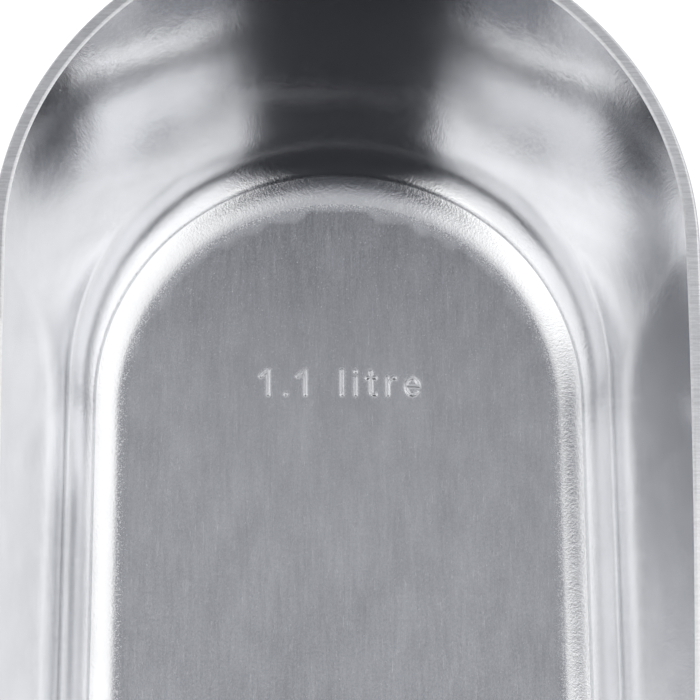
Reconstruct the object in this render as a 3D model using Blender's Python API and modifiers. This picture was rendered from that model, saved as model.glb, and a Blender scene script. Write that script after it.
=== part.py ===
"""Ice scoop of 1.1 litres: a cast aluminium bowl with a hollow grip clamped on by a tie rod.

Metres, +Z up. The origin is on the flat base, on the middle plane. The lip points to -Y and the
handle to +Y. The bowl is a trough with a round back end. Its wall leans out from the flat floor to
a ground rim, which is level round the back, slopes gently along the sides and drops to the lip.
A boss on the back wall carries the handle: seal, ferrule, grip, seal, end cap, spring washer and
an eye nut, all pulled against the boss by the rod. A wire ring hangs in the eye.
"""

import math

import bmesh
import bpy
from mathutils import Matrix, Vector
from mathutils.bvhtree import BVHTree

MM = 0.001
GAP = 0.3 * MM  # between pieces that touch

# Bowl, seen from above: the floor and the rim both end in a half circle at the back.
FLOOR_HALF = 47.5 * MM  # half the floor's width, and the radius of its round end
RIM_HALF = 67.5 * MM  # the same for the rim, inside
END_Y = 47.5 * MM  # centre of the floor's round end
RIM_SET_BACK = 16.2 * MM  # the rim's round end is centred this far behind the floor's
LIP_Y = -84 * MM  # front of the lip on the middle plane
LIP_BOW = 12 * MM  # how far the lip falls back at the sides

# Bowl, in section.
FLOOR_THICK = 3 * MM
LIP_THICK = 1.6 * MM
LIP_TAPER = 9 * MM  # length over which the floor thins to the lip
WALL = 2.8 * MM
RIM_Z = 64.5 * MM
FOOT_SIDE = 8.5 * MM  # from the floor's edge to where the wall would meet the floor
FOOT_BACK = 6.5 * MM
FILLET_UP = 10 * MM  # height at which the inner fillet has run into the wall
OUTER_FILLET_UP = 12 * MM
WALL_HOLLOW = 1.2 * MM  # halfway up, the wall lies this far inside a straight line
HOLLOW_FROM_Z = 11.5 * MM
BASE_MARGIN = 1 * MM  # the flat base reaches this far past the floor's edge

# Rim seen from the side: level, then a slight slope, then the drop to the lip.
LEVEL_UNTIL_Y = 70 * MM
DROP_FROM_Y = -25 * MM
SLIGHT_DROP = 5 * MM
RIM_END_Z = 4.4 * MM
TOE_SLOPE = 0.3

# Mesh density of the bowl.
END_STEPS = 22
SIDE_STEPS = 30
FLOOR_ROWS = 4
FILLET_ROWS = 6
WALL_ROWS = 5

# Handle. Lengths along its axis start where the axis leaves the bowl's outer wall.
HANDLE_RISE = math.radians(12)
BOSS_Z = 42 * MM
BOSS_R = 12 * MM
BOSS_LENGTH = 14 * MM
BOSS_FLARE = 5 * MM
SPIGOT_R = 7.5 * MM
SPIGOT_LENGTH = 14 * MM
SPIGOT_PLAY = 0.35 * MM
ROD_R = 3 * MM
ROD_DEPTH = 20 * MM  # how deep the rod screws into the boss
HOLE_R = ROD_R + GAP
SEAL_THICK = 1.2 * MM
SEAL_R = 11.8 * MM
FERRULE_LENGTH = 5 * MM
FERRULE_R = 12.9 * MM
GRIP_LENGTH = 88 * MM
GRIP_END_R = 12.4 * MM
GRIP_SWELL = 2.1 * MM
GRIP_WEB = 10 * MM  # solid rear end of the grip
CAP_LENGTH = 8 * MM
CAP_R = 12.9 * MM
CAP_FLAT_R = 8 * MM
CAP_SIDE = 1.6 * MM
WASHER_R = 5.6 * MM
WASHER_THICK = 1.5 * MM
NUT_LENGTH = 5 * MM
NUT_R = 6 * MM
EYE_R = 5.2 * MM
EYE_HOLE_R = 2.7 * MM
EYE_THICK = 4.6 * MM
EYE_REACH = 5.5 * MM  # from the nut's end to the eye's centre
RING_R = 13 * MM
RING_WIRE_R = 1.3 * MM
RING_DROP = 0.8 * MM  # the wire lies this far below the eye's centre
PIN_R = 1.2 * MM
PIN_OFF_AXIS = 9.9 * MM
PIN_INTO = 3.5 * MM  # how deep the pin sits in the boss and in the grip
EDGE_CUT = 0.6 * MM

TURN_STEPS = 48
PIN_SIDES = 16
MERGE = 0.00001
OVERCUT = 1 * MM  # how far a cutter reaches past the face it starts from


# ---------------------------------------------------------------- scene helpers

def clear_scene():
    for obj in list(bpy.data.objects):
        bpy.data.objects.remove(obj)


def new_collection(name):
    collection = bpy.data.collections.new(name)
    bpy.context.scene.collection.children.link(collection)
    return collection


def new_material(name, colour, roughness, metallic):
    material = bpy.data.materials.new(name)
    material.use_nodes = True
    shader = material.node_tree.nodes["Principled BSDF"]
    shader.inputs["Base Color"].default_value = (*colour, 1)
    shader.inputs["Roughness"].default_value = roughness
    shader.inputs["Metallic"].default_value = metallic
    return material


def new_object(name, mesh, material=None):
    obj = bpy.data.objects.new(name, mesh)
    (PARTS if material else CUTTERS).objects.link(obj)
    if material:
        mesh.materials.append(material)
    else:
        obj.hide_render = True
        obj.display_type = "WIRE"
    return obj


def mesh_of(name, points, faces):
    mesh = bpy.data.meshes.new(name)
    mesh.from_pydata(points, [], faces)
    mesh.update()
    return mesh


def clean(mesh):
    """Merges points in one place and turns every face outwards."""
    work = bmesh.new()
    work.from_mesh(mesh)
    bmesh.ops.remove_doubles(work, verts=work.verts, dist=MERGE)
    bmesh.ops.recalc_face_normals(work, faces=work.faces)
    work.to_mesh(mesh)
    work.free()
    return mesh


def round_shading(mesh, degrees=35):
    mesh.shade_smooth()
    mesh.set_sharp_from_angle(angle=math.radians(degrees))


def boolean(obj, operation, other):
    modifier = obj.modifiers.new(f"{operation}_{other.name}", "BOOLEAN")
    modifier.operation = operation
    modifier.object = other
    modifier.solver = "EXACT"


def bake(obj):
    """Replaces the object's mesh with what its modifiers make of it."""
    graph = bpy.context.evaluated_depsgraph_get()
    graph.update()
    mesh = bpy.data.meshes.new_from_object(obj.evaluated_get(graph))
    obj.modifiers.clear()
    obj.data = mesh
    return obj


# ---------------------------------------------------------------- the bowl

def eased(t):
    t = min(max(t, 0.0), 1.0)
    return t * t * (3 - 2 * t)


def rim_height(y):
    """Height of the ground rim above the base."""
    if y >= LEVEL_UNTIL_Y:
        return RIM_Z
    slope = 2 * SLIGHT_DROP / (LEVEL_UNTIL_Y - DROP_FROM_Y)
    if y >= DROP_FROM_Y:
        return RIM_Z - SLIGHT_DROP * ((LEVEL_UNTIL_Y - y) / (LEVEL_UNTIL_Y - DROP_FROM_Y)) ** 2
    corner_y = LIP_Y + LIP_BOW
    run = DROP_FROM_Y - corner_y
    t = min((DROP_FROM_Y - y) / run, 1.0)
    top = RIM_Z - SLIGHT_DROP
    start = (2 * t**3 - 3 * t**2 + 1) * top - (t**3 - 2 * t**2 + t) * run * slope
    return start + (3 * t**2 - 2 * t**3) * RIM_END_Z - (t**3 - t**2) * run * TOE_SLOPE


def stations():
    """From the back's middle round to the side and on to the lip: one dict for each section."""
    found = []
    for i in range(END_STEPS + 1):
        angle = math.pi / 2 * (1 - i / END_STEPS)
        out = Vector((math.cos(angle), math.sin(angle), 0))
        centre = Vector((0, END_Y, 0))
        found.append({
            "spine": centre,
            "edge": centre + out * FLOOR_HALF,
            "out": out,
            "rim": centre + Vector((0, RIM_SET_BACK, 0)) + out * RIM_HALF,
            "foot": FOOT_SIDE + (FOOT_BACK - FOOT_SIDE) * math.sin(angle) ** 2,
            "bow": 0.0,
            "floor": FLOOR_THICK,
        })
    for i in range(1, SIDE_STEPS + 1):
        t = i / SIDE_STEPS
        y = END_Y + (LIP_Y - END_Y) * (1 - (1 - t) ** 1.25)
        thin = eased((LIP_Y + LIP_TAPER - y) / LIP_TAPER)
        found.append({
            "spine": Vector((0, y, 0)),
            "edge": Vector((FLOOR_HALF, y, 0)),
            "out": Vector((1, 0, 0)),
            "rim": Vector((RIM_HALF, y + RIM_SET_BACK * (1 - t), 0)),
            "foot": FOOT_SIDE,
            "bow": LIP_BOW * eased(t),
            "floor": FLOOR_THICK + (LIP_THICK - FLOOR_THICK) * thin,
        })
    return found


def section(station, outside, shift=0.0):
    """The section from the middle plane to the rim: inner skin, or the skin `shift` outside it."""
    edge, out, rim = station["edge"], station["out"], station["rim"]
    up = Vector((0, 0, 1))
    foot = edge + out * station["foot"] + up * FLOOR_THICK
    lean = (rim + up * RIM_Z) - foot
    slant = math.hypot(lean.x, lean.y) / lean.z
    thick = shift * math.hypot(1, slant)

    def on_wall(z):
        share = max((z - HOLLOW_FROM_Z) / (RIM_Z - HOLLOW_FROM_Z), 0.0)
        inward = WALL_HOLLOW * 4 * share * (1 - share)
        return foot + lean * ((z - FLOOR_THICK) / lean.z) + out * (thick - inward)

    low = 0.0 if outside else station["floor"]
    start = edge + out * (BASE_MARGIN if outside else 0.0)
    bend = OUTER_FILLET_UP if outside else FILLET_UP
    corner = on_wall(low)
    end = on_wall(low + bend)

    def on_skin(h):
        """Point at height h above the skin's own floor."""
        if h >= bend:
            return on_wall(low + h)
        t = math.sqrt(max(h, 0.0) / bend)
        point = start * (1 - t) ** 2 + corner * 2 * t * (1 - t) + end * t**2
        return Vector((point.x, point.y, low + h))

    top = rim_height(rim.y + station["bow"]) - low
    fillet_top = min(bend, 0.5 * top)
    rows = [station["spine"].lerp(start, i / FLOOR_ROWS) + up * low for i in range(FLOOR_ROWS)]
    rows += [on_skin(fillet_top * (i / FILLET_ROWS) ** 2) for i in range(FILLET_ROWS + 1)]
    rows += [on_skin(fillet_top + (top - fillet_top) * i / WALL_ROWS) for i in range(1, WALL_ROWS + 1)]
    for point in rows:
        point.y += station["bow"] * (point.x / RIM_HALF) ** 2
    return rows


def loft(sections):
    """Faces between neighbouring sections, which all have the same number of points."""
    count = len(sections[0])
    faces = []
    for k in range(len(sections) - 1):
        for i in range(count - 1):
            a = k * count + i
            faces.append((a, a + 1, a + count + 1, a + count))
    return faces


def half_bowl_mesh():
    """The +X half: inner skin, outer skin, ground rim and lip. It is open on the middle plane."""
    inner = [section(s, False) for s in stations()]
    outer = [section(s, True, WALL) for s in stations()]
    count = len(inner[0])
    offset = count * len(inner)
    points = [p for rows in inner + outer for p in rows]
    faces = loft(inner) + [tuple(v + offset for v in reversed(f)) for f in loft(outer)]
    for k in range(len(inner) - 1):
        a = k * count + count - 1
        faces.append((a, a + offset, a + offset + count, a + count))
    last = (len(inner) - 1) * count
    for i in range(count - 1):
        faces.append((last + i, last + i + 1, last + i + 1 + offset, last + i + offset))
    return clean(mesh_of("half_bowl", points, faces))


def mirrored(obj):
    modifier = obj.modifiers.new("both_sides", "MIRROR")
    modifier.use_axis = (True, False, False)
    modifier.merge_threshold = MERGE
    modifier.use_clip = True
    return obj


# ---------------------------------------------------------------- the handle's axis

AXIS = Vector((0, math.cos(HANDLE_RISE), math.sin(HANDLE_RISE)))


def axis_start():
    """Where the handle's axis leaves the bowl's outer wall, on the middle plane."""
    foot_y = END_Y + FLOOR_HALF + FOOT_BACK
    rim_y = END_Y + RIM_SET_BACK + RIM_HALF
    slant = (rim_y - foot_y) / (RIM_Z - FLOOR_THICK)
    y = foot_y + slant * (BOSS_Z - FLOOR_THICK) + WALL * math.hypot(1, slant)
    return Vector((0, y, BOSS_Z))


START = axis_start()
SHOULDER = BOSS_LENGTH
SEAL_AT = SHOULDER + GAP
FERRULE_AT = SEAL_AT + SEAL_THICK + GAP
GRIP_AT = FERRULE_AT + FERRULE_LENGTH + GAP
REAR_SEAL_AT = GRIP_AT + GRIP_LENGTH + GAP
CAP_AT = REAR_SEAL_AT + SEAL_THICK + GAP
WASHER_AT = CAP_AT + CAP_LENGTH + GAP
NUT_AT = WASHER_AT + WASHER_THICK + GAP
EYE_AT = NUT_AT + NUT_LENGTH + EYE_REACH
ROD_FROM = SHOULDER + SPIGOT_LENGTH - ROD_DEPTH + GAP
ROD_TO = NUT_AT + NUT_LENGTH - 2 * GAP


def along(s):
    return START + AXIS * s


def on_axis(s=0.0):
    """A frame whose +Z runs along the handle and whose +Y is its upper side."""
    turn = Matrix.Rotation(HANDLE_RISE - math.pi / 2, 4, "X")
    return Matrix.Translation(along(s)) @ turn @ Matrix.Rotation(math.pi, 4, "Z")


def turned(name, profile, s, material=None):
    """A piece turned about the handle's axis from (radius, length) points.

    The points run down the outer side and close the loop up the bore, or start and end on the axis.
    """
    closed = profile[0][0] > 0
    points = [(r, 0, z) for r, z in profile]
    edges = [(i, i + 1) for i in range(len(points) - 1)]
    if closed:
        edges.append((len(points) - 1, 0))
    mesh = bpy.data.meshes.new(name)
    mesh.from_pydata(points, edges, [])
    obj = new_object(name, mesh, material)
    screw = obj.modifiers.new("turn", "SCREW")
    screw.steps = screw.render_steps = TURN_STEPS
    screw.use_merge_vertices = True
    screw.merge_threshold = MERGE
    screw.use_normal_calculate = False
    bake(obj)
    clean(obj.data)
    round_shading(obj.data)
    obj.matrix_world = on_axis(s)
    return obj


def bar(name, radius, s_from, s_to, material=None, off_axis=0.0, sides=TURN_STEPS):
    """A plain round bar along the handle, `off_axis` below its axis."""
    mesh = bpy.data.meshes.new(name)
    work = bmesh.new()
    bmesh.ops.create_cone(
        work, cap_ends=True, segments=sides, radius1=radius, radius2=radius, depth=s_to - s_from)
    work.to_mesh(mesh)
    work.free()
    round_shading(mesh)
    obj = new_object(name, mesh, material)
    obj.matrix_world = on_axis((s_from + s_to) / 2) @ Matrix.Translation((0, -off_axis, 0))
    return obj


# ---------------------------------------------------------------- the bowl with its boss

def boss_mesh(bowl):
    """The boss: round at the shoulder, flaring where it runs into the sloping outer wall."""
    graph = bpy.context.evaluated_depsgraph_get()
    graph.update()
    wall = BVHTree.FromObject(bowl, graph)
    frame = on_axis()
    sunk = WALL * 0.5
    rings = []
    for i in range(TURN_STEPS):
        angle = 2 * math.pi * i / TURN_STEPS
        out = (frame.to_3x3() @ Vector((math.cos(angle), math.sin(angle), 0))).normalized()
        wide = along(60 * MM) + out * (BOSS_R + BOSS_FLARE)
        hit, normal, _, _ = wall.ray_cast(wide, -AXIS)
        flat = (out - normal * out.dot(normal)).normalized()
        end = along(SHOULDER) + out * BOSS_R
        steps = [hit - normal * sunk, hit]
        near = along((hit - START).dot(AXIS)) + out * BOSS_R
        corner = hit - flat * BOSS_FLARE
        above = near.lerp(end, 0.45)
        for t in (0.25, 0.5, 0.75, 1.0):
            steps.append(hit * (1 - t) ** 2 + corner * 2 * t * (1 - t) + above * t**2)
        steps.append(end)
        rings.append(steps)
    count = len(rings[0])
    points = [p for steps in rings for p in steps]
    faces = []
    for i in range(TURN_STEPS):
        j = (i + 1) % TURN_STEPS
        for k in range(count - 1):
            faces.append((i * count + k, j * count + k, j * count + k + 1, i * count + k + 1))
    faces.append(tuple(i * count for i in range(TURN_STEPS)))
    faces.append(tuple(i * count + count - 1 for i in reversed(range(TURN_STEPS))))
    return clean(mesh_of("boss", points, faces))


def pin_cutter(name, s_from=SHOULDER - OVERCUT):
    """The locating pin's hole, through whatever lies between `s_from` and its end in the grip."""
    return bar(name, PIN_R + GAP, s_from, GRIP_AT + PIN_INTO, None, PIN_OFF_AXIS, PIN_SIDES)


def make_bowl(material):
    bowl = mirrored(new_object("bowl", half_bowl_mesh(), material))
    bake(bowl)
    boss = new_object("boss", boss_mesh(bowl))
    spigot = bar("spigot", SPIGOT_R, SHOULDER - OVERCUT, SHOULDER + SPIGOT_LENGTH)
    bore = bar("rod_bore", HOLE_R, ROD_FROM - GAP, SHOULDER + SPIGOT_LENGTH + OVERCUT)
    pin_hole = pin_cutter("boss_pin_hole", SHOULDER - PIN_INTO)
    boolean(bowl, "UNION", boss)
    boolean(bowl, "UNION", spigot)
    boolean(bowl, "DIFFERENCE", bore)
    boolean(bowl, "DIFFERENCE", pin_hole)
    bake(bowl)
    round_shading(bowl.data)
    return bowl


# ---------------------------------------------------------------- the handle's pieces

def ring_profile(outer, inner, length, edge=0.0):
    """A plain ring, with its outer corners cut by `edge`."""
    if not edge:
        return [(outer, length), (outer, 0), (inner, 0), (inner, length)]
    return [
        (outer - edge, length), (outer, length - edge), (outer, edge), (outer - edge, 0),
        (inner, 0), (inner, length),
    ]


def make_seals(material):
    bore = SPIGOT_R + SPIGOT_PLAY
    neck = turned("neck_seal", ring_profile(SEAL_R, bore, SEAL_THICK), SEAL_AT, material)
    boolean(neck, "DIFFERENCE", pin_cutter("neck_seal_pin_hole"))
    turned("rear_seal", ring_profile(SEAL_R, HOLE_R, SEAL_THICK), REAR_SEAL_AT, material)


def make_ferrule(material):
    bore = SPIGOT_R + SPIGOT_PLAY
    profile = ring_profile(FERRULE_R, bore, FERRULE_LENGTH, EDGE_CUT)
    ferrule = turned("ferrule", profile, FERRULE_AT, material)
    boolean(ferrule, "DIFFERENCE", pin_cutter("ferrule_pin_hole"))


def grip_radius(t):
    """The grip's outer radius: slim at both ends and fullest behind the middle."""
    return GRIP_END_R + GRIP_SWELL * math.sin(math.pi * t) ** 1.4 * (0.55 + 0.9 * t)


def make_grip(material):
    bore = SPIGOT_R + SPIGOT_PLAY
    steps = 22
    outer = [(grip_radius(i / steps), GRIP_LENGTH * i / steps) for i in range(steps, -1, -1)]
    web = GRIP_LENGTH - GRIP_WEB
    inner = [(bore, 0), (bore, web - 3 * MM), (HOLE_R, web), (HOLE_R, GRIP_LENGTH)]
    grip = turned("grip", outer + inner, GRIP_AT, material)
    boolean(grip, "DIFFERENCE", pin_cutter("grip_pin_hole"))


def make_end_cap(material):
    """A cap with a flat rear face, rounded over to a short straight side."""
    steps = 7
    dome = []
    for i in range(steps + 1):
        angle = math.pi / 2 * i / steps
        radius = CAP_FLAT_R + (CAP_R - CAP_FLAT_R) * math.sin(angle)
        dome.append((radius, CAP_SIDE + (CAP_LENGTH - CAP_SIDE) * math.cos(angle)))
    profile = dome + [(CAP_R, EDGE_CUT), (CAP_R - EDGE_CUT, 0), (HOLE_R, 0), (HOLE_R, CAP_LENGTH)]
    turned("end_cap", profile, CAP_AT, material)


def make_spring_washer(material):
    """A split ring: the slot runs slantwise through one side."""
    profile = ring_profile(WASHER_R, HOLE_R, WASHER_THICK, 0.2 * MM)
    washer = turned("spring_washer", profile, WASHER_AT, material)
    slot = bpy.data.meshes.new("washer_slot")
    work = bmesh.new()
    bmesh.ops.create_cube(work, size=1.0)
    bmesh.ops.scale(work, vec=(0.9 * MM, 2 * WASHER_R, 4 * WASHER_THICK), verts=work.verts)
    work.to_mesh(slot)
    work.free()
    cutter = new_object("washer_slot", slot)
    turn = Matrix.Rotation(math.radians(55), 4, "Z") @ Matrix.Rotation(math.radians(24), 4, "Y")
    outward = Matrix.Translation((0, WASHER_R, 0))
    cutter.matrix_world = on_axis(WASHER_AT + WASHER_THICK / 2) @ turn @ outward
    boolean(washer, "DIFFERENCE", cutter)


def make_tie_rod(material):
    chamfer = 0.8 * MM
    length = ROD_TO - ROD_FROM
    profile = [
        (0, length), (ROD_R - chamfer, length), (ROD_R, length - chamfer),
        (ROD_R, chamfer), (ROD_R - chamfer, 0), (0, 0),
    ]
    turned("tie_rod", profile, ROD_FROM, material)


def make_locating_pin(material):
    s_from = SHOULDER - PIN_INTO + GAP
    s_to = GRIP_AT + PIN_INTO - GAP
    bar("locating_pin", PIN_R, s_from, s_to, material, PIN_OFF_AXIS, PIN_SIDES)


def add_outline(curve, points):
    spline = curve.splines.new("POLY")
    spline.points.add(len(points) - 1)
    for place, (across, length) in zip(spline.points, points):
        place.co = (across, length, 0, 1)
    spline.use_cyclic_u = True


def circle_points(radius, centre, angles):
    return [(radius * math.cos(a), centre + radius * math.sin(a)) for a in angles]


def make_eye_nut(material):
    """A hexagon nut with a flat lug on its end, and a round hole across the lug."""
    centre = NUT_LENGTH + EYE_REACH
    root = NUT_LENGTH - 1 * MM
    arc = [math.radians(degrees) for degrees in range(-12, 193, 12)]
    outer = [(-EYE_R, root), (EYE_R, root)] + circle_points(EYE_R, centre, arc)
    hole = circle_points(EYE_HOLE_R, centre, [2 * math.pi * i / 32 for i in range(32)])
    curve = bpy.data.curves.new("eye_outline", "CURVE")
    curve.dimensions = "2D"
    curve.fill_mode = "BOTH"
    curve.extrude = EYE_THICK / 2
    add_outline(curve, outer)
    add_outline(curve, hole)
    flat = bpy.data.objects.new("eye_outline", curve)
    CUTTERS.objects.link(flat)
    graph = bpy.context.evaluated_depsgraph_get()
    graph.update()
    mesh = clean(bpy.data.meshes.new_from_object(flat.evaluated_get(graph)))
    bpy.data.objects.remove(flat)
    # The outline's x becomes the upper side's direction and its y the handle's.
    mesh.transform(Matrix(((0, 0, 1, 0), (1, 0, 0, 0), (0, 1, 0, 0), (0, 0, 0, 1))))
    lug = new_object("eye_lug", mesh)
    lug.matrix_world = on_axis(NUT_AT)
    nut = bar("eye_nut", NUT_R, NUT_AT, NUT_AT + NUT_LENGTH, material, sides=6)
    thread = bar("nut_bore", HOLE_R, NUT_AT - OVERCUT, ROD_TO + GAP)
    boolean(nut, "UNION", lug)
    boolean(nut, "DIFFERENCE", thread)


def make_hanging_ring(material):
    bpy.ops.mesh.primitive_torus_add(
        major_radius=RING_R, minor_radius=RING_WIRE_R, major_segments=56, minor_segments=14)
    ring = bpy.context.object
    ring.name = ring.data.name = "hanging_ring"
    for collection in list(ring.users_collection):
        collection.objects.unlink(ring)
    PARTS.objects.link(ring)
    ring.data.materials.append(material)
    round_shading(ring.data)
    # The ring stands in the XZ plane, and its origin is on the eye's centre, about which it swings.
    hang = Matrix.Rotation(math.pi / 2, 4, "X")
    ring.data.transform(Matrix.Translation((0, 0, -RING_R - RING_DROP)) @ hang)
    ring.location = along(EYE_AT)


# ---------------------------------------------------------------- assembly

clear_scene()
PARTS = new_collection("ice_scoop")
CUTTERS = new_collection("cutters")

cast_aluminium = new_material("cast_aluminium", (0.78, 0.79, 0.81), 0.3, 1.0)
turned_aluminium = new_material("turned_aluminium", (0.76, 0.77, 0.79), 0.35, 1.0)
polished_aluminium = new_material("polished_aluminium", (0.83, 0.84, 0.85), 0.18, 1.0)
stainless_steel = new_material("stainless_steel", (0.62, 0.61, 0.60), 0.22, 1.0)
silicone = new_material("silicone", (0.05, 0.05, 0.055), 0.6, 0.0)

make_bowl(cast_aluminium)
make_seals(silicone)
make_ferrule(polished_aluminium)
make_grip(turned_aluminium)
make_end_cap(polished_aluminium)
make_spring_washer(stainless_steel)
make_eye_nut(stainless_steel)
make_hanging_ring(stainless_steel)
make_tie_rod(stainless_steel)
make_locating_pin(stainless_steel)
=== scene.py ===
"""Looks of the ice scoop: a fine mesh of the cast bowl, metal and rubber materials, light and camera.

Metres, in the model's frame: +Z up, the handle to +Y, the lip to -Y, the origin under the bowl.
"""

import math

import bmesh
import bpy
import numpy as np
from mathutils import Matrix, Vector
from mathutils.bvhtree import BVHTree
from mathutils.geometry import delaunay_2d_cdt


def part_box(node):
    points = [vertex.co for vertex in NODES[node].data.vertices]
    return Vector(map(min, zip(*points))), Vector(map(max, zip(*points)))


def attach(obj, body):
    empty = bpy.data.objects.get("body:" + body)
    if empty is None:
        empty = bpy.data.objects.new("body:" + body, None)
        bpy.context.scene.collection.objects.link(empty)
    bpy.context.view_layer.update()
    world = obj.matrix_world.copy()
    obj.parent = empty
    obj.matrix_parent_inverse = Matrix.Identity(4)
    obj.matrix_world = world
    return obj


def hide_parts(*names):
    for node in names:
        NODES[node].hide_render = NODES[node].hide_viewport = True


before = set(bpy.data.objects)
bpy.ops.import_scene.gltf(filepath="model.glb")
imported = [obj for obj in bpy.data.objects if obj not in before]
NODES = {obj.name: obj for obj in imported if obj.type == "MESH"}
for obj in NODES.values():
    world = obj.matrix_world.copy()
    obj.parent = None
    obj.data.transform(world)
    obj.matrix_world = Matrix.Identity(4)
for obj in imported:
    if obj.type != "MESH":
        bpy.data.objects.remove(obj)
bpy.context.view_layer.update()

MM = 0.001

# Bowl, seen from above.
FLOOR_HALF = 47.5 * MM
RIM_HALF = 67.5 * MM
END_Y = 47.5 * MM
RIM_SET_BACK = 16.2 * MM
LIP_NOSE = 0.5 * MM
LIP_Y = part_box("bowl")[0].y + LIP_NOSE
LIP_BOW = 12 * MM

# Bowl, in section.
FLOOR_THICK = 3 * MM
LIP_THICK = 1.6 * MM
LIP_TAPER = 9 * MM
WALL = 2.8 * MM
RIM_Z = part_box("bowl")[1].z
FOOT_SIDE = 8.5 * MM
FOOT_BACK = 6.5 * MM
OUTER_FILLET_UP = 12 * MM
WALL_HOLLOW = 1.2 * MM
BASE_MARGIN = 1 * MM

# Slope of the inner fillet, in degrees, against the share of its length. A small step marks where
# the tool that cleaned the floor's corner stopped.
FILLET_SLOPES = [(0.0, 8), (0.06, 15), (0.31, 33), (0.31, 64), (0.335, 64), (0.335, 40), (0.5, 50),
                 (0.75, 62), (1.0, None)]

# Rim seen from the side.
LEVEL_UNTIL_Y = 70 * MM
DROP_FROM_Y = -25 * MM
SLIGHT_DROP = 5 * MM
RIM_END_Z = 4.4 * MM
TOE_SLOPE = 0.3

# The ground rim.
RIM_CHAMFER = 0.6 * MM
RIM_CHAMFER_DROP = 0.25 * MM
RIM_ROUND = 0.65 * MM

# Raised capacity mark.
MARK_TEXT = "1.1 litre"
MARK_HEIGHT = 5.8 * MM
MARK_AT = Vector((0.3 * MM, 53.6 * MM))
MARK_RAISED = 0.32 * MM
MARK_SPACING = 1.42
MARK_STROKE = 0.66 * MM
MARK_GRID = 0.13 * MM
MARK_EDGE = 0.3 * MM  # width of the slope on each side of a stroke
MARK_ROOM = (22 * MM, 6 * MM)  # half width and height of the fine grid round the mark

# The handle's boss.
HANDLE_RISE = math.radians(12)
HANDLE_AXIS = Vector((0, math.cos(HANDLE_RISE), math.sin(HANDLE_RISE)))
BOSS_Z = 42 * MM
BOSS_R = 12 * MM
BOSS_LENGTH = 14 * MM
BOSS_FLARE = 5 * MM
BOSS_SIDES = 96
BOSS_STEPS = 12
EDGE_CUT = 0.6 * MM

# Camera: where it stands, its turns about X, Y and Z in degrees, and its lens in millimetres.
CAMERA_AT = Vector((-16 * MM, -133.7 * MM, 596.7 * MM))
CAMERA_TURN = (18.16, -1.69, 0.22)
CAMERA_LENS = 147.5

# Material slots of the bowl.
FLOOR, POLISHED, GROUND, OUTSIDE = range(4)

# Mesh density.
MERGE = 2e-6
END_STEPS = 72
SIDE_STEPS = 90
FILLET_STEPS = 24
WALL_STEPS = 26
FRONT_STEPS = 62
FLOOR_GRID = 3 * MM


def eased(t):
    t = min(max(t, 0.0), 1.0)
    return t * t * (3 - 2 * t)


# ---------------------------------------------------------------- the bowl's shape

def rim_height(y):
    """Height of the ground rim above the base."""
    if y >= LEVEL_UNTIL_Y:
        return RIM_Z
    slope = 2 * SLIGHT_DROP / (LEVEL_UNTIL_Y - DROP_FROM_Y)
    if y >= DROP_FROM_Y:
        return RIM_Z - SLIGHT_DROP * ((LEVEL_UNTIL_Y - y) / (LEVEL_UNTIL_Y - DROP_FROM_Y)) ** 2
    run = DROP_FROM_Y - (LIP_Y + LIP_BOW)
    t = min((DROP_FROM_Y - y) / run, 1.0)
    top = RIM_Z - SLIGHT_DROP
    start = (2 * t**3 - 3 * t**2 + 1) * top - (t**3 - 2 * t**2 + t) * run * slope
    return start + (3 * t**2 - 2 * t**3) * RIM_END_Z - (t**3 - t**2) * run * TOE_SLOPE


def floor_height(y):
    """Height of the inner floor, which thins to the lip."""
    thin = eased((LIP_Y + LIP_TAPER - y) / LIP_TAPER)
    return FLOOR_THICK + (LIP_THICK - FLOOR_THICK) * thin


def side_share(y):
    """0 where the straight sides begin and 1 at the lip."""
    ahead = min(max((END_Y - y) / (END_Y - LIP_Y), 0.0), 1.0)
    return 1 - (1 - ahead) ** (1 / 1.25)


def bowed(x, y):
    """y of a point after the lip has been bowed back at the sides."""
    return y + LIP_BOW * eased(side_share(y)) * (x / RIM_HALF) ** 2


def stations():
    """Sections from the lip's -X corner round the back to its +X corner."""
    ahead = [1 - (1 - i / SIDE_STEPS) ** 1.25 for i in range(SIDE_STEPS, 0, -1)]
    sides = [END_Y + (LIP_Y - END_Y) * a for a in ahead]
    found = [station(-1, 0.0, y) for y in sides]
    steps = 2 * END_STEPS
    found += [station(0, math.pi * (1 - i / steps), END_Y) for i in range(steps + 1)]
    return found + [station(1, 0.0, y) for y in reversed(sides)]


def station(side, angle, y):
    """`side` is -1 or 1 on the straight sides; at 0 the section stands at `angle` on the round end."""
    if side:
        out = Vector((side, 0, 0))
        back = 1 - side_share(y)
    else:
        out = Vector((math.cos(angle), math.sin(angle), 0))
        back = 1.0
    edge = Vector((0, y, 0)) + out * FLOOR_HALF
    rim = Vector((0, y + RIM_SET_BACK * back, 0)) + out * RIM_HALF
    foot = FOOT_SIDE + (FOOT_BACK - FOOT_SIDE) * (out.y ** 2)
    return {"edge": edge, "out": out, "rim": rim, "foot": foot, "floor": floor_height(y)}


def fillet_curve(slope_at_wall):
    """The fillet's (out, up) points for a fillet of length 1, from the floor's edge to the wall."""
    slopes = [(s, slope_at_wall if a is None else math.radians(a)) for s, a in FILLET_SLOPES]
    points = [(0.0, 0.0)]
    for (s0, a0), (s1, a1) in zip(slopes, slopes[1:]):
        steps = max(1, round((s1 - s0) * FILLET_STEPS))
        for i in range(steps if s1 > s0 else 0):
            angle = a0 + (a1 - a0) * (i + 0.5) / steps
            step = (s1 - s0) / steps
            out, up = points[-1]
            points.append((out + step * math.cos(angle), up + step * math.sin(angle)))
    return points


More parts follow.
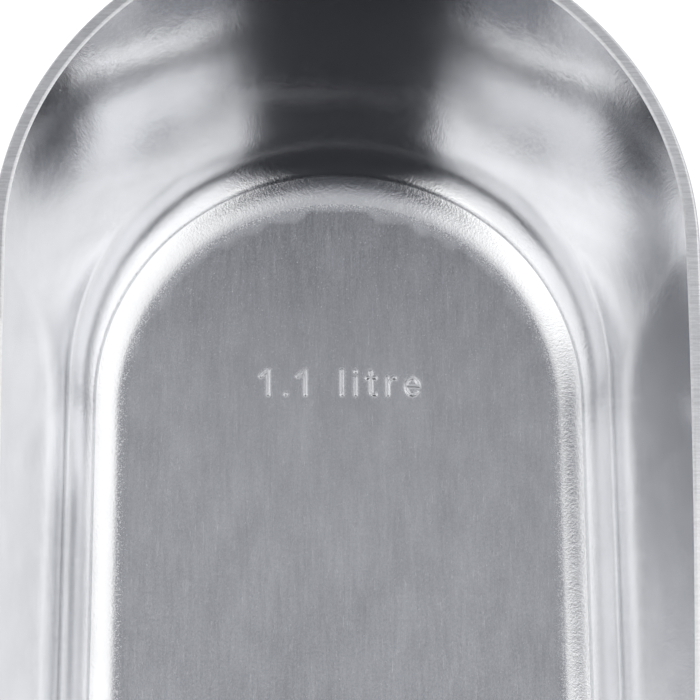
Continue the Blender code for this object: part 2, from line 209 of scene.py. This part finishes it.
def skin(s):
    """Adds to a station the terms of its inner skin: where it lies at each height."""
    foot = s["edge"] + s["out"] * s["foot"]
    flat_lean = (s["rim"] - foot) / (RIM_Z - FLOOR_THICK)
    s["lean"] = flat_lean.dot(s["out"])
    s["drift"] = flat_lean - s["out"] * s["lean"]
    start = s["lean"]
    for _ in range(3):
        curve = fillet_curve(math.atan2(1, start))
        length = s["foot"] / (curve[-1][0] - s["lean"] * curve[-1][1])
        s["fillet_out"] = [out * length for out, _ in curve]
        s["fillet_up"] = [up * length for _, up in curve]
        start = s["lean"] - 4 * WALL_HOLLOW / (RIM_Z - FLOOR_THICK - s["fillet_up"][-1])
    s["thick"] = WALL * math.hypot(1, flat_lean.length)
    return s


def inward(s, h):
    """How far the wall lies inside a straight line at height h above the floor, so that it flares."""
    low = s["fillet_up"][-1]
    share = max((h - low) / (RIM_Z - FLOOR_THICK - low), 0.0)
    return WALL_HOLLOW * 4 * share * (1 - share)


def inner_point(s, h):
    """Point of the inner skin at height h above the floor."""
    if h < s["fillet_up"][-1]:
        out = float(np.interp(h, s["fillet_up"], s["fillet_out"]))
    else:
        out = s["foot"] + s["lean"] * h - inward(s, h)
    return s["edge"] + s["out"] * out + s["drift"] * h + Vector((0, 0, s["floor"] + h))


def outer_point(s, z):
    """Point of the outer skin at height z above the base."""
    wall_out = s["foot"] + s["lean"] * (z - FLOOR_THICK) + s["thick"] - inward(s, z - FLOOR_THICK)
    if z < OUTER_FILLET_UP:
        t = math.sqrt(max(z, 0.0) / OUTER_FILLET_UP)
        corner = s["foot"] - s["lean"] * FLOOR_THICK + s["thick"]
        end = corner + s["lean"] * OUTER_FILLET_UP
        wall_out = BASE_MARGIN * (1 - t) ** 2 + corner * 2 * t * (1 - t) + end * t**2
    return s["edge"] + s["out"] * wall_out + s["drift"] * (z - FLOOR_THICK) + Vector((0, 0, z))


def wall_rows(s):
    """Heights of the rows of points, from 0 at the floor to 1 at the rim, as (fillet share, wall share)."""
    reach = s["fillet_up"][-1]
    shares = [(up / reach, 0.0) for up in s["fillet_up"]]
    return shares + [(1.0, i / WALL_STEPS) for i in range(1, WALL_STEPS + 1)]


def strip(s):
    """All points of a section: up the inner skin, over the rim and down the outer skin."""
    top = rim_height(s["rim"].y + LIP_BOW * eased(side_share(s["edge"].y)))
    tilt = rim_tilt(s)
    inner_top = top - RIM_CHAMFER_DROP
    outer_top = top - RIM_ROUND - tilt * s["thick"]
    shares = wall_rows(s)
    inner, outer = [], []
    for rows, low, high, point, reach in (
        (inner, 0.0, inner_top - s["floor"], inner_point, s["fillet_up"][-1]),
        (outer, 0.0, outer_top, outer_point, OUTER_FILLET_UP),
    ):
        bend = min(reach, 0.5 * high)
        rows += [point(s, low + bend * f + (high - bend) * w) for f, w in shares]
    rim_in = inner[-1] + s["out"] * RIM_CHAMFER
    rim_in.z = top
    rim_out = outer[-1] - s["out"] * RIM_ROUND
    rim_out.z = top - tilt * s["thick"]
    rim = [rim_in, rim_in.lerp(rim_out, 0.03), rim_in.lerp(rim_out, 0.5), rim_in.lerp(rim_out, 0.97), rim_out]
    for degrees in (30, 60):
        a = math.radians(degrees)
        point = rim_out + s["out"] * RIM_ROUND * math.sin(a)
        point.z -= RIM_ROUND * (1 - math.cos(a))
        rim.append(point)
    return inner, rim, outer[::-1]


def rim_tilt(s):
    """Outward slope of the ground rim: none round the back, a little along the straight sides."""
    side = -1 if s["out"].x < 0 else 1
    from_y, to_y, most = (52 * MM, 44 * MM, 0.16) if side < 0 else (40 * MM, -20 * MM, 0.14)
    y = s["rim"].y
    return most * eased((from_y - y) / (from_y - to_y))


# ---------------------------------------------------------------- the raised mark

def arc(centre, radius_x, radius_y, start, end, steps=14):
    """Points on an ellipse from one angle to another, in degrees."""
    angles = [math.radians(start + (end - start) * i / steps) for i in range(steps + 1)]
    return [(centre[0] + radius_x * math.cos(a), centre[1] + radius_y * math.sin(a)) for a in angles]


# Each sign of the mark: its width, then the centre lines of its strokes, with a digit's height as 1.
SIGNS = {
    "1": (0.62, [[(0.02, 0.74), (0.3, 0.97), (0.3, 0.03)]]),
    ".": (0.36, [[(0.08, 0.04), (0.08, 0.05)]]),
    " ": (0.5, []),
    "l": (0.36, [[(0.08, 0.97), (0.08, 0.03)]]),
    "i": (0.36, [[(0.08, 0.68), (0.08, 0.03)], [(0.08, 0.93), (0.08, 0.94)]]),
    "t": (0.5, [[(0.14, 0.92), (0.14, 0.2)] + arc((0.28, 0.17), 0.14, 0.14, 180, 280),
                [(0, 0.68), (0.3, 0.68)]]),
    "r": (0.5, [[(0.06, 0.68), (0.06, 0.03)], arc((0.3, 0.38), 0.24, 0.3, 180, 80)]),
    "e": (0.62, [[(0.04, 0.37)] + arc((0.27, 0.35), 0.24, 0.33, 2, 318)]),
}


def mark_strokes():
    """The mark's stroke segments on the floor as (start, end) points in metres."""
    segments, x = [], 0.0
    for sign in MARK_TEXT:
        width, lines = SIGNS[sign]
        for line in lines:
            segments += [((x + a[0], a[1]), (x + b[0], b[1])) for a, b in zip(line, line[1:])]
        x += width * MARK_SPACING
    middle = np.array([x / 2 - 0.15, 0.5])
    return [[(np.array(end) - middle) * MARK_HEIGHT + np.array(MARK_AT) for end in pair] for pair in segments]


def distance_to_mark(places):
    """Distance of each place to the nearest centre line of the mark."""
    nearest = np.full(len(places), 1.0)
    for a, b in mark_strokes():
        along = b - a
        t = np.clip(((places - a) @ along) / (along @ along), 0, 1)
        nearest = np.minimum(nearest, np.linalg.norm(places - a - t[:, None] * along, axis=1))
    return nearest


# ---------------------------------------------------------------- the bowl's mesh

def floor_points(outline):
    """Points for the inner floor: its outline first, then a grid that is fine round the mark."""
    points = [Vector(p[:2]) for p in outline]
    ring = len(points)
    half_wide, half_high = MARK_ROOM
    fine = [
        Vector((MARK_AT.x + i * MARK_GRID, MARK_AT.y + j * MARK_GRID))
        for i in range(-round(half_wide / MARK_GRID), round(half_wide / MARK_GRID) + 1)
        for j in range(-round(half_high / MARK_GRID), round(half_high / MARK_GRID) + 1)
    ]
    coarse = []
    step = FLOOR_GRID
    for i in range(-15, 16):
        for j in range(-60, 60):
            place = Vector((i * step, j * step))
            back = place.y - END_Y
            room = FLOOR_HALF - (place.length if back < 0 else math.hypot(place.x, back))
            if back < 0:
                room = min(FLOOR_HALF - abs(place.x), place.y - LIP_Y)
            clear_x = abs(place.x - MARK_AT.x) >= half_wide + step / 2
            clear_y = abs(place.y - MARK_AT.y) >= half_high + step / 2
            if room > step / 2 and (clear_x or clear_y):
                coarse.append(place)
    taper = [Vector((i * step, LIP_Y + j * MM)) for i in range(-15, 16) for j in range(1, 10)]
    taper = [p for p in taper if min((p - q).length for q in coarse) > 0.4 * MM]
    points += fine + coarse + taper
    found = delaunay_2d_cdt(points, [(i, (i + 1) % ring) for i in range(ring)], [], 1, 1e-7)
    return found[0], found[2]


def bowed_point(point, y):
    """The point after the lip's bow, for a section that stands at y."""
    return Vector((point.x, point.y + bowed(point.x, y) - y, point.z))


def mark_height(places):
    """Height of the raised mark over each place, and how near the place is to it, from 0 to 1."""
    distance = distance_to_mark(np.array(places))
    rise = np.clip((MARK_STROKE / 2 + 0.4 * MARK_EDGE - distance) / MARK_EDGE, 0, 1)
    near = np.clip((1.25 * MM - distance) / (1.1 * MM), 0, 1)
    return MARK_RAISED * rise * rise * (3 - 2 * rise), near * near * (3 - 2 * near)


def nose(inner, outer):
    """Points round the lip's front edge, from the inner skin to the outer one."""
    middle, half = (inner + outer) / 2, (inner - outer) / 2
    ahead = Vector((0, -LIP_NOSE, 0)) * half.length / (LIP_THICK / 2)
    angles = [math.pi * k / 6 for k in range(7)]
    return [middle + half * math.cos(a) + ahead * math.sin(a) for a in angles]


def bowl_mesh():
    sections = [skin(s) for s in stations()]
    strips = [strip(s) for s in sections]
    inner_count, rim_count = len(strips[0][0]), len(strips[0][1])
    rows = [inner + rim + outer for inner, rim, outer in strips]
    count = len(rows[0])
    points, faces, finish = [], [], []
    for s, row in zip(sections, rows):
        points += [bowed_point(p, s["edge"].y) for p in row]
    for k in range(len(rows) - 1):
        for i in range(count - 1):
            a = k * count + i
            faces.append((a, a + count, a + count + 1, a + 1))
            inside = i < inner_count - 1
            on_rim = inner_count - 1 <= i < inner_count + rim_count
            finish.append(POLISHED if inside else GROUND if on_rim else OUTSIDE)

    # The front: pairs of points on the two skins, from one rim corner to the other.
    across = [1 - 2 * i / FRONT_STEPS for i in range(1, FRONT_STEPS)]
    front_in = [Vector((FLOOR_HALF * a, LIP_Y, floor_height(LIP_Y))) for a in across]
    front_out = [Vector(((FLOOR_HALF + BASE_MARGIN) * a, LIP_Y, 0)) for a in across]
    left, right = strips[0], strips[-1]
    pairs = list(zip(reversed(left[0]), left[2]))
    pairs += list(zip(reversed(front_in), reversed(front_out)))
    pairs += list(zip(right[0], reversed(right[2])))
    noses = [[bowed_point(p, LIP_Y) for p in nose(i, o)] for i, o in pairs]
    start = len(points)
    points += [p for n in noses for p in n]
    width = len(noses[0])
    for k in range(len(noses) - 1):
        for i in range(width - 1):
            a = start + k * width + i
            faces.append((a, a + 1, a + width + 1, a + width))
            finish.append(GROUND)
    for rim, k in ((left[1], 0), (right[1], len(noses) - 1)):
        at = len(points)
        points += [bowed_point(p, LIP_Y) for p in rim]
        ends = list(range(start + k * width, start + (k + 1) * width))
        faces.append(tuple(ends[:1] + list(range(at, at + len(rim))) + ends[:0:-1]))
        finish.append(GROUND)

    # The flat base.
    base = [bowed_point(row[-1], s["edge"].y) for s, row in zip(sections, rows)]
    base += [bowed_point(p, LIP_Y) for p in front_out]
    at = len(points)
    points += base
    faces.append(tuple(range(at, at + len(base))))
    finish.append(OUTSIDE)

    # The inner floor.
    outline = [row[0] for row in rows] + front_in
    places, triangles = floor_points(outline)
    rise, _ = mark_height(places)
    at = len(points)
    for place, up in zip(places, rise):
        flat = Vector((place.x, place.y, floor_height(place.y) + float(up)))
        points.append(bowed_point(flat, place.y))
    faces += [tuple(at + v for v in t) for t in triangles]
    finish += [FLOOR] * len(triangles)
    return closed_mesh("bowl_fine", points, faces, finish)


def closed_mesh(name, points, faces, finish):
    mesh = bpy.data.meshes.new(name)
    mesh.from_pydata(points, [], faces)
    mesh.polygons.foreach_set("material_index", finish)
    work = bmesh.new()
    work.from_mesh(mesh)
    bmesh.ops.remove_doubles(work, verts=work.verts, dist=MERGE)
    bmesh.ops.recalc_face_normals(work, faces=work.faces)
    work.to_mesh(mesh)
    work.free()
    return mesh


# ---------------------------------------------------------------- the handle's boss

def axis_start():
    """Where the handle's axis leaves the bowl's outer wall, on the middle plane."""
    foot_y = END_Y + FLOOR_HALF + FOOT_BACK
    rim_y = END_Y + RIM_SET_BACK + RIM_HALF
    slant = (rim_y - foot_y) / (RIM_Z - FLOOR_THICK)
    y = foot_y + slant * (BOSS_Z - FLOOR_THICK) + WALL * math.hypot(1, slant)
    return Vector((0, y, BOSS_Z))


def on_axis(s):
    """A frame on the handle's axis, `s` behind the bowl, whose +Z runs to the rear."""
    turn = Matrix.Rotation(HANDLE_RISE - math.pi / 2, 4, "X")
    return Matrix.Translation(axis_start() + HANDLE_AXIS * s) @ turn


def boss_mesh(bowl):
    """The boss: round at the shoulder, with a fillet where it runs into the outer wall."""
    work = bmesh.new()
    work.from_mesh(bowl)
    wall = BVHTree.FromBMesh(work)
    work.free()
    turn = on_axis(0).to_3x3()
    shoulder = axis_start() + HANDLE_AXIS * BOSS_LENGTH
    points, faces = [], []
    for i in range(BOSS_SIDES):
        angle = 2 * math.pi * i / BOSS_SIDES
        out = turn @ Vector((math.cos(angle), math.sin(angle), 0))
        far = axis_start() + HANDLE_AXIS * 60 * MM
        hit, normal, _, _ = wall.ray_cast(far + out * (BOSS_R + BOSS_FLARE), -HANDLE_AXIS)
        flat = (out - normal * out.dot(normal)).normalized()
        edge = shoulder + out * BOSS_R
        near = axis_start() + HANDLE_AXIS * (hit - axis_start()).dot(HANDLE_AXIS) + out * BOSS_R
        corner, above = hit - flat * BOSS_FLARE, near.lerp(edge, 0.45)
        points += [hit - normal * WALL * 0.5, hit]
        for k in range(1, BOSS_STEPS + 1):
            t = k / BOSS_STEPS
            points.append(hit * (1 - t) ** 2 + corner * 2 * t * (1 - t) + above * t**2)
        points += [above.lerp(edge, 0.5), edge - HANDLE_AXIS * EDGE_CUT, edge - out * EDGE_CUT]
    count = len(points) // BOSS_SIDES
    for i in range(BOSS_SIDES):
        j = (i + 1) % BOSS_SIDES
        a, b = i * count, j * count
        faces += [(a + k, b + k, b + k + 1, a + k + 1) for k in range(count - 1)]
    faces.append(tuple(i * count for i in range(BOSS_SIDES)))
    faces.append(tuple(i * count + count - 1 for i in range(BOSS_SIDES)))
    return closed_mesh("boss", points, faces, [OUTSIDE] * len(faces))


def make_bowl(materials):
    mesh = bowl_mesh()
    bowl = bpy.data.objects.new("scoop_bowl", mesh)
    boss = bpy.data.objects.new("boss", boss_mesh(mesh))
    for obj in (bowl, boss):
        bpy.context.scene.collection.objects.link(obj)
        for material in materials:
            obj.data.materials.append(material)
    union = bowl.modifiers.new("boss", "BOOLEAN")
    union.operation = "UNION"
    union.object = boss
    graph = bpy.context.evaluated_depsgraph_get()
    joined = bpy.data.meshes.new_from_object(bowl.evaluated_get(graph))
    bowl.modifiers.clear()
    bowl.data = joined
    bpy.data.objects.remove(boss)
    joined.shade_smooth()
    joined.set_sharp_from_angle(angle=math.radians(30))
    add_mark_attribute(joined)
    return bowl


def add_mark_attribute(mesh):
    """Stores how near each point of the floor is to the raised mark."""
    places = np.zeros(len(mesh.vertices) * 3)
    mesh.vertices.foreach_get("co", places)
    places = places.reshape(-1, 3)
    value = np.zeros(len(places))
    close = (
        (np.abs(places[:, 0] - MARK_AT.x) < 23 * MM)
        & (np.abs(places[:, 1] - MARK_AT.y) < 7 * MM)
        & (places[:, 2] > FLOOR_THICK / 2)
        & (places[:, 2] < FLOOR_THICK + MARK_RAISED + MM)
    )
    value[close] = mark_height(places[close][:, :2])[1]
    mesh.attributes.new("near_mark", "FLOAT", "POINT").data.foreach_set("value", value)


# ---------------------------------------------------------------- materials

class Nodes:
    """A node tree, with short calls to add and link nodes."""

    def __init__(self, name):
        self.material = bpy.data.materials.new(name)
        self.material.use_nodes = True
        self.tree = self.material.node_tree
        self.shader = self.tree.nodes["Principled BSDF"]

    @classmethod
    def of_tree(cls, tree):
        nodes = cls.__new__(cls)
        nodes.tree = tree
        return nodes

    def add(self, kind, settings=None, **inputs):
        node = self.tree.nodes.new("ShaderNode" + kind)
        for key, value in (settings or {}).items():
            setattr(node, key, value)
        for key, value in inputs.items():
            self.put(node.inputs[key.replace("_", " ")], value)
        return node

    def put(self, socket, value):
        if isinstance(value, bpy.types.NodeSocket):
            self.tree.links.new(value, socket)
        else:
            socket.default_value = value

    def stretched(self, scale):
        """Object coordinates multiplied by `scale` along each axis, in units of one metre."""
        place = self.add("TexCoord").outputs["Object"]
        return self.add("Mapping", Vector=place, Scale=scale).outputs["Vector"]

    def noise(self, scale, detail=3.0, roughness=0.5, distortion=0.0):
        node = self.add("TexNoise", Vector=self.stretched(scale), Scale=1.0, Detail=detail,
                        Roughness=roughness, Distortion=distortion)
        return node.outputs["Fac"]

    def ramp(self, factor, low, high, from_min=0.0, from_max=1.0):
        """Maps a factor from (from_min, from_max) to (low, high), with both ends clamped."""
        node = self.add("MapRange", {"clamp": True}, Value=factor, From_Min=from_min, From_Max=from_max,
                        To_Min=low, To_Max=high)
        return node.outputs["Result"]

    def math(self, operation, a, b=0.0):
        node = self.add("Math", {"operation": operation})
        self.put(node.inputs[0], a)
        self.put(node.inputs[1], b)
        return node.outputs["Value"]

    def split(self, vector):
        node = self.add("SeparateXYZ", Vector=vector)
        return node.outputs["X"], node.outputs["Y"], node.outputs["Z"]

    def degrees(self, radians):
        return self.math("DEGREES", radians)

    def curve(self, value, points):
        """Straight lines through (value, result) points."""
        low, high = points[0][0], points[-1][0]
        node = self.add("FloatCurve", Value=self.ramp(value, 0, 1, low, high))
        mapping = node.mapping
        mapping.use_clip = False
        line = mapping.curves[0]
        top = max(result for _, result in points)
        while len(line.points) < len(points):
            line.points.new(0.5, 0.5)
        for point, (place, result) in zip(line.points, points):
            point.location = ((place - low) / (high - low), result / top)
            point.handle_type = "VECTOR"
        mapping.update()
        return self.math("MULTIPLY", node.outputs["Value"], top)

    def mix(self, factor, a, b):
        """Mixes two colours by a factor."""
        node = self.add("Mix", {"data_type": "RGBA"})
        self.put(node.inputs[0], factor)
        self.put(node.inputs[6], a)
        self.put(node.inputs[7], b)
        return node.outputs[2]

    def bump(self, height, distance, strength=1.0, normal=None):
        node = self.add("Bump", Height=height, Distance=distance, Strength=strength)
        if normal is not None:
            self.put(node.inputs["Normal"], normal)
        return node.outputs["Normal"]

    def finish(self, **inputs):
        for key, value in inputs.items():
            self.put(self.shader.inputs[key.replace("_", " ")], value)
        return self.material


def silver(value, blue=0.02):
    """Aluminium's very slightly blue grey."""
    return (value * (1 - blue), value * (1 - 0.75 * blue), value, 1)


def floor_material():
    """Satin aluminium, brushed lengthwise, with mottling, pits, scratches and a halo round the mark."""
    nodes = Nodes("satin_floor")
    cloud = nodes.noise((120, 60, 120), detail=5, roughness=0.65)
    streak = nodes.noise((1500, 110, 300), detail=3, roughness=0.6, distortion=0.5)
    fine = nodes.noise((3600, 1700, 3600), detail=3, roughness=0.7)
    grain = nodes.math("ADD", nodes.math("MULTIPLY", streak, 0.35), nodes.math("MULTIPLY", fine, 0.65))
    pits = nodes.ramp(nodes.noise((1400, 1000, 1400), detail=1), 0, 1, 0.74, 0.82)
    scratch = nodes.ramp(nodes.noise((2200, 190, 300), detail=1, distortion=1.6), 0, 1, 0.69, 0.76)
    marks = nodes.math("ADD", pits, scratch)
    halo = nodes.add("Attribute", {"attribute_name": "near_mark"}).outputs["Fac"]
    shade = nodes.math("ADD", nodes.ramp(cloud, -0.16, 0.16, 0.3, 0.7),
                       nodes.ramp(grain, -0.2, 0.2, 0.35, 0.65))
    shade = nodes.math("ADD", shade, nodes.math("MULTIPLY", marks, 0.16))
    colour = nodes.mix(nodes.math("ADD", shade, 0.5), silver(0.52, 0.035), silver(1.0, 0.035))
    colour = nodes.mix(nodes.math("MULTIPLY", halo, 0.9), colour, silver(1.0))
    rough = nodes.math("ADD", nodes.ramp(grain, 0.16, 0.25, 0.35, 0.65), nodes.math("MULTIPLY", halo, 0.16))

    # Frosted specks along the floor's edge, left where the fillet's tool ran out.
    x, y, _ = nodes.split(nodes.add("TexCoord").outputs["Object"])
    behind = nodes.math("MAXIMUM", nodes.math("SUBTRACT", y, END_Y), 0.0)
    radius = nodes.math("SQRT", nodes.math("ADD", nodes.math("MULTIPLY", x, x),
                                           nodes.math("MULTIPLY", behind, behind)))
    near_edge = nodes.ramp(radius, 0, 1, FLOOR_HALF - 2.6 * MM, FLOOR_HALF)
    specks = nodes.math("ADD", nodes.noise((2600, 2600, 2600), detail=2),
                        nodes.math("MULTIPLY", near_edge, 0.24))
    frost = nodes.ramp(specks, 0, 1, 0.69, 0.84)
    colour = nodes.mix(frost, colour, silver(1.0))
    rough = nodes.math("ADD", rough, nodes.math("MULTIPLY", frost, 0.35))
    height = nodes.math("ADD", grain, nodes.math("MULTIPLY", marks, -0.5))
    return nodes.finish(Base_Color=colour, Metallic=1.0, Roughness=rough, Normal=nodes.bump(height, 6e-6))


def polished_material():
    """Polished wall: a fine granular sheen over faint waves left by the polishing wheel."""
    nodes = Nodes("polished_wall")
    waves = nodes.noise((55, 40, 40), detail=3, roughness=0.55)
    grain = nodes.noise((1700, 1700, 650), detail=4, roughness=0.7)
    cloud = nodes.noise((90, 60, 90), detail=3)
    scratch = nodes.ramp(nodes.noise((1500, 900, 140), detail=1, distortion=0.6), 0, 1, 0.72, 0.8)
    shade = nodes.math("ADD", nodes.ramp(cloud, 0.3, 0.7, 0.3, 0.7),
                       nodes.ramp(grain, -0.16, 0.16, 0.25, 0.75))
    shade = nodes.math("ADD", shade, nodes.math("MULTIPLY", scratch, 0.2))
    colour = nodes.mix(shade, silver(0.86), silver(0.99))
    rough = nodes.math("ADD", nodes.ramp(grain, 0.08, 0.17, 0.25, 0.75), nodes.math("MULTIPLY", scratch, 0.1))
    _, _, height = nodes.split(nodes.add("TexCoord").outputs["Object"])
    coarse = nodes.ramp(height, 1, 0.4, 5 * MM, 9 * MM)
    normal = nodes.bump(grain, 6e-5, coarse, nodes.bump(waves, 1.6e-4))
    return nodes.finish(Base_Color=colour, Metallic=1.0, Roughness=rough, Normal=normal)


def ground_material():
    """The rim, ground flat: short crosswise scratches and bright specks."""
    nodes = Nodes("ground_rim")
    cross = nodes.noise((260, 2600, 2600), detail=3, roughness=0.6)
    specks = nodes.ramp(nodes.noise((2800, 2800, 2800), detail=1), 0, 1, 0.62, 0.75)
    shade = nodes.math("ADD", nodes.ramp(cross, 0.15, 0.85, 0.3, 0.7), nodes.math("MULTIPLY", specks, 0.3))
    height = nodes.math("ADD", cross, nodes.math("MULTIPLY", specks, 0.3))
    return nodes.finish(Base_Color=nodes.mix(shade, silver(0.72), silver(1.0)), Metallic=1.0,
                        Roughness=nodes.ramp(cross, 0.3, 0.5), Normal=nodes.bump(height, 1.2e-5))


def outside_material():
    """The outside, blasted to an even satin with a trace of the casting's skin."""
    nodes = Nodes("satin_outside")
    skin_grain = nodes.noise((1500, 1500, 1500), detail=3, roughness=0.6)
    cloud = nodes.noise((60, 60, 60), detail=3)
    shade = nodes.math("ADD", nodes.ramp(cloud, 0.2, 0.6, 0.3, 0.7), nodes.ramp(skin_grain, 0, 0.4, 0.3, 0.7))
    normal = nodes.bump(skin_grain, 2.5e-5, normal=nodes.bump(cloud, 2e-4))
    return nodes.finish(Base_Color=nodes.mix(shade, silver(0.62), silver(0.86)), Metallic=1.0,
                        Roughness=nodes.ramp(skin_grain, 0.3, 0.42, 0.3, 0.7), Normal=normal)


def metal_material(name, dark, light, rough, scale, depth):
    """Machined metal: its grain is a noise stretched by `scale`, in features per metre."""
    nodes = Nodes(name)
    grain = nodes.noise(scale, detail=3, roughness=0.6)
    smudge = nodes.noise((110, 110, 110), detail=3)
    shade = nodes.math("ADD", nodes.ramp(grain, 0, 0.6, 0.3, 0.7), nodes.ramp(smudge, 0, 0.4, 0.3, 0.7))
    roughness = nodes.math("ADD", nodes.ramp(grain, rough * 0.75, rough * 1.15, 0.3, 0.7),
                           nodes.ramp(smudge, 0, 0.06, 0.45, 0.7))
    return nodes.finish(Base_Color=nodes.mix(shade, dark, light), Metallic=1.0, Roughness=roughness,
                        Normal=nodes.bump(grain, depth))


def rubber_material():
    """Black silicone with a faint moulded grain."""
    nodes = Nodes("silicone_seal")
    grain = nodes.noise((2600, 2600, 2600), detail=2)
    dust = nodes.noise((300, 300, 300), detail=3)
    shade = nodes.math("ADD", nodes.ramp(grain, 0, 0.5, 0.3, 0.7), nodes.ramp(dust, 0, 0.5, 0.3, 0.7))
    return nodes.finish(Base_Color=nodes.mix(shade, (0.028, 0.029, 0.032, 1), (0.06, 0.062, 0.067, 1)),
                        Roughness=nodes.ramp(dust, 0.5, 0.66, 0.3, 0.7), Normal=nodes.bump(grain, 2e-5))


def dress_handle():
    """Gives the handle's parts, which keep their shapes, materials with grain and wear."""
    turned = metal_material("turned_aluminium", silver(0.6), silver(0.84), 0.3, (500, 2600, 500), 8e-6)
    polished = metal_material("polished_aluminium", silver(0.84), silver(0.95), 0.15, (900, 1500, 900), 3e-6)
    steel = metal_material("stainless_steel", (0.5, 0.49, 0.47, 1), (0.7, 0.69, 0.67, 1), 0.22,
                           (1800, 1800, 400), 4e-6)
    rubber = rubber_material()
    finishes = {"turned_aluminium": turned, "polished_aluminium": polished, "stainless_steel": steel,
                "silicone": rubber}
    for name, node in NODES.items():
        if name != "bowl":
            slot = next(s for s in finishes if node.material_slots[0].name.startswith(s))
            node.material_slots[0].material = finishes[slot]


# ---------------------------------------------------------------- light and camera

def make_camera():
    data = bpy.data.cameras.new("camera")
    data.sensor_width = 36
    data.lens = CAMERA_LENS
    camera = bpy.data.objects.new("camera", data)
    pitch, yaw, roll = (math.radians(a) for a in CAMERA_TURN)
    turn = Matrix.Rotation(pitch, 4, "X") @ Matrix.Rotation(yaw, 4, "Y") @ Matrix.Rotation(roll, 4, "Z")
    camera.matrix_world = Matrix.Translation(CAMERA_AT) @ turn
    bpy.context.scene.collection.objects.link(camera)
    bpy.context.scene.camera = camera


def make_stage():
    mesh = bpy.data.meshes.new("table")
    work = bmesh.new()
    bmesh.ops.create_grid(work, x_segments=1, y_segments=1, size=8)
    work.to_mesh(mesh)
    work.free()
    table = bpy.data.objects.new("table", mesh)
    nodes = Nodes("pale_table")
    grain = nodes.noise((900, 900, 900), detail=3)
    cloud = nodes.noise((3, 3, 3), detail=2)
    shade = nodes.math("ADD", nodes.ramp(grain, 0, 0.5, 0.3, 0.7), nodes.ramp(cloud, 0, 0.5, 0.3, 0.7))
    colour = nodes.mix(shade, (0.9, 0.9, 0.905, 1), (0.93, 0.93, 0.935, 1))
    mesh.materials.append(nodes.finish(
        Base_Color=colour, Roughness=nodes.ramp(grain, 0.7, 0.8), Normal=nodes.bump(grain, 3e-5),
        Emission_Color=colour, Emission_Strength=0.7))
    table.visible_glossy = False
    table.location.z = -0.2 * MM
    bpy.context.scene.collection.objects.link(table)


def make_world():
    """A dim studio with a soft box on each side. The dark gap between them widens to the front."""
    world = bpy.data.worlds.new("studio")
    world.use_nodes = True
    nodes = Nodes.of_tree(world.node_tree)
    x, y, z = nodes.split(nodes.add("TexCoord").outputs["Generated"])
    aside = nodes.degrees(nodes.math("ARCSINE", x))
    ahead = nodes.degrees(nodes.math("ARCTAN2", nodes.math("MULTIPLY", y, -1.0), z))
    height = nodes.degrees(nodes.math("ARCSINE", z))

    # Half width of the gap between the boxes, in degrees, against the angle ahead of the zenith.
    right_gap = nodes.curve(ahead, [(-90, 20), (-45, 20), (-20, 13), (0, 5), (15, 8), (24, 21), (35, 28),
                                    (43, 20), (58, 22), (70, 26), (82, 29), (90, 30)])
    left_gap = nodes.curve(ahead, [(-90, 15), (-45, 15), (-20, 9), (0, 5), (15, 12), (24, 22), (35, 27),
                                   (43, 20), (58, 22), (70, 26), (82, 29), (90, 30)])
    right = nodes.ramp(nodes.math("SUBTRACT", aside, right_gap), 0, 0.87, -2.5, 3.5)
    left = nodes.ramp(nodes.math("SUBTRACT", nodes.math("MULTIPLY", aside, -1.0), left_gap), 0, 1, -2.5, 3.5)
    strength = nodes.curve(height, [(-90, 0.3), (8, 0.25), (19, 1.15), (40, 1.35), (62, 1.2), (76, 0.85),
                                    (90, 0.75)])
    boxes = nodes.math("MULTIPLY", nodes.math("ADD", right, left), strength)
    # A dark stretch behind the scoop to its left, by azimuth from the front and height.
    azimuth = nodes.degrees(nodes.math("ARCTAN2", x, nodes.math("MULTIPLY", y, -1.0)))
    slanted = nodes.math("ADD", azimuth, height)
    dark = nodes.math("MULTIPLY", nodes.ramp(slanted, 1, 0, -59, -50), nodes.ramp(height, 0, 1, 30, 40))
    dark = nodes.math("MULTIPLY", dark, nodes.ramp(height, 1, 0, 60, 66))
    boxes = nodes.math("MULTIPLY", boxes, nodes.math("SUBTRACT", 1.0, nodes.math("MULTIPLY", dark, 0.88)))
    # Brightness of the gap, which is lit straight above the scoop and dark ahead of it.
    gap = nodes.curve(ahead, [(-90, 0.6), (-62, 0.45), (-45, 0.3), (-30, 0.15), (-24, 0.05), (-21, 0.16),
                              (-19, 0.48), (-15, 0.5), (-11, 0.4), (-8, 0.38), (2, 0.35), (15, 0.42),
                              (23, 0.34), (29, 0.12), (36, 0.07), (58, 0.04), (90, 0.03)])
    # Soft light low down at the sides and behind.
    behind = nodes.math("MULTIPLY", nodes.ramp(nodes.math("ABSOLUTE", azimuth), 0, 0.65, 68, 105),
                        nodes.ramp(height, 1, 0, 22, 34))
    light = nodes.math("MAXIMUM", nodes.math("MAXIMUM", gap, boxes), behind)
    tint = nodes.mix(nodes.ramp(light, 0, 1, 0.1, 0.8), (0.84, 0.88, 1, 1), (1, 1, 1, 1))
    studio = nodes.add("Background", Color=tint, Strength=light)
    plain = nodes.add("Background", Color=(1, 1, 1, 1), Strength=1.0)
    seen = nodes.add("MixShader", Fac=nodes.add("LightPath").outputs["Is Camera Ray"])
    nodes.put(seen.inputs[1], studio.outputs[0])
    nodes.put(seen.inputs[2], plain.outputs[0])
    nodes.put(world.node_tree.nodes["World Output"].inputs["Surface"], seen.outputs[0])
    bpy.context.scene.world = world


bpy.context.scene.view_settings.view_transform = "Standard"
make_stage()
make_world()
make_camera()
bowl = make_bowl([floor_material(), polished_material(), ground_material(), outside_material()])
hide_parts("bowl")
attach(bowl, "scoop")
dress_handle()
